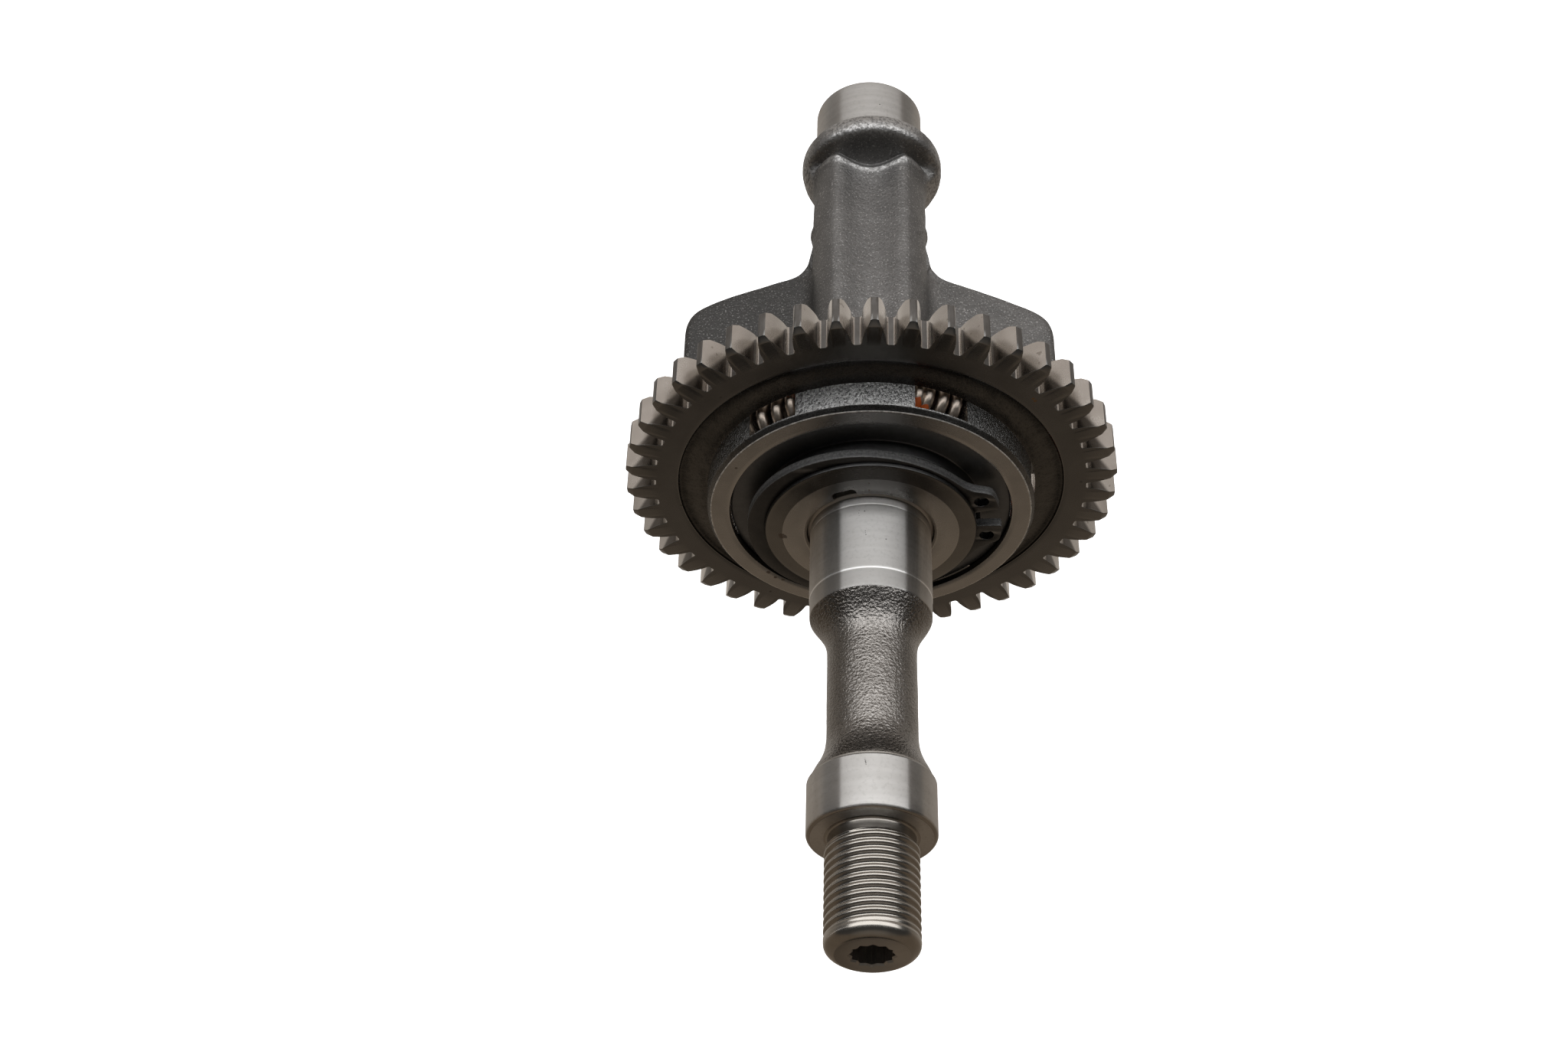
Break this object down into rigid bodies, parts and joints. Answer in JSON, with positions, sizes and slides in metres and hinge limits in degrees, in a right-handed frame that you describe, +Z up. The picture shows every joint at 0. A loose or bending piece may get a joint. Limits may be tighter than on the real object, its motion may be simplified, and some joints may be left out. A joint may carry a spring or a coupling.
{
  "type": "balance shaft with sprung gear",
  "caption": "Forged balance shaft with a counterweight, bearing journals and a threaded end, carrying a toothed gear that is sprung on its hub by coil springs.",
  "frame": {"origin": "centre of the front journal, on the shaft axis", "axes": "+Y along the shaft toward its rear journal, so the threaded end points toward -Y; +Z up, away from the counterweight; +X to the right seen from the threaded end"},
  "size_m": [0.0906, 0.1941, 0.0906],
  "materials": {
    "forged_steel": "as-forged, with ground journals and collar",
    "turned_steel": "turned",
    "gear_steel": "machined rim and boss face, as-forged web",
    "spring_wire": "drawn wire with orange paint dabs",
    "dark_steel": "blackened"
  },
  "bodies": {
    "shaft": {"balance_shaft": "forged_steel", "damper_hub": "turned_steel", "drive_key": "turned_steel", "damper_spring_1": "spring_wire", "damper_spring_2": "spring_wire", "damper_spring_3": "spring_wire", "damper_spring_4": "spring_wire", "damper_spring_5": "spring_wire", "damper_spring_6": "spring_wire", "thrust_washer": "dark_steel", "circlip": "dark_steel"},
    "gear": {"damper_gear": "gear_steel"}
  },
  "joints": [
    {"name": "gear_damper", "type": "hinge", "parent": "shaft", "child": "gear", "pos_m": [0, 0, 0], "axis": [0, 1, 0], "range_deg": [-2.8, 2.8], "stiffness_Nm_per_rad": 60, "deforming": ["damper_spring_1", "damper_spring_2", "damper_spring_3", "damper_spring_4", "damper_spring_5", "damper_spring_6"]}
  ]
}
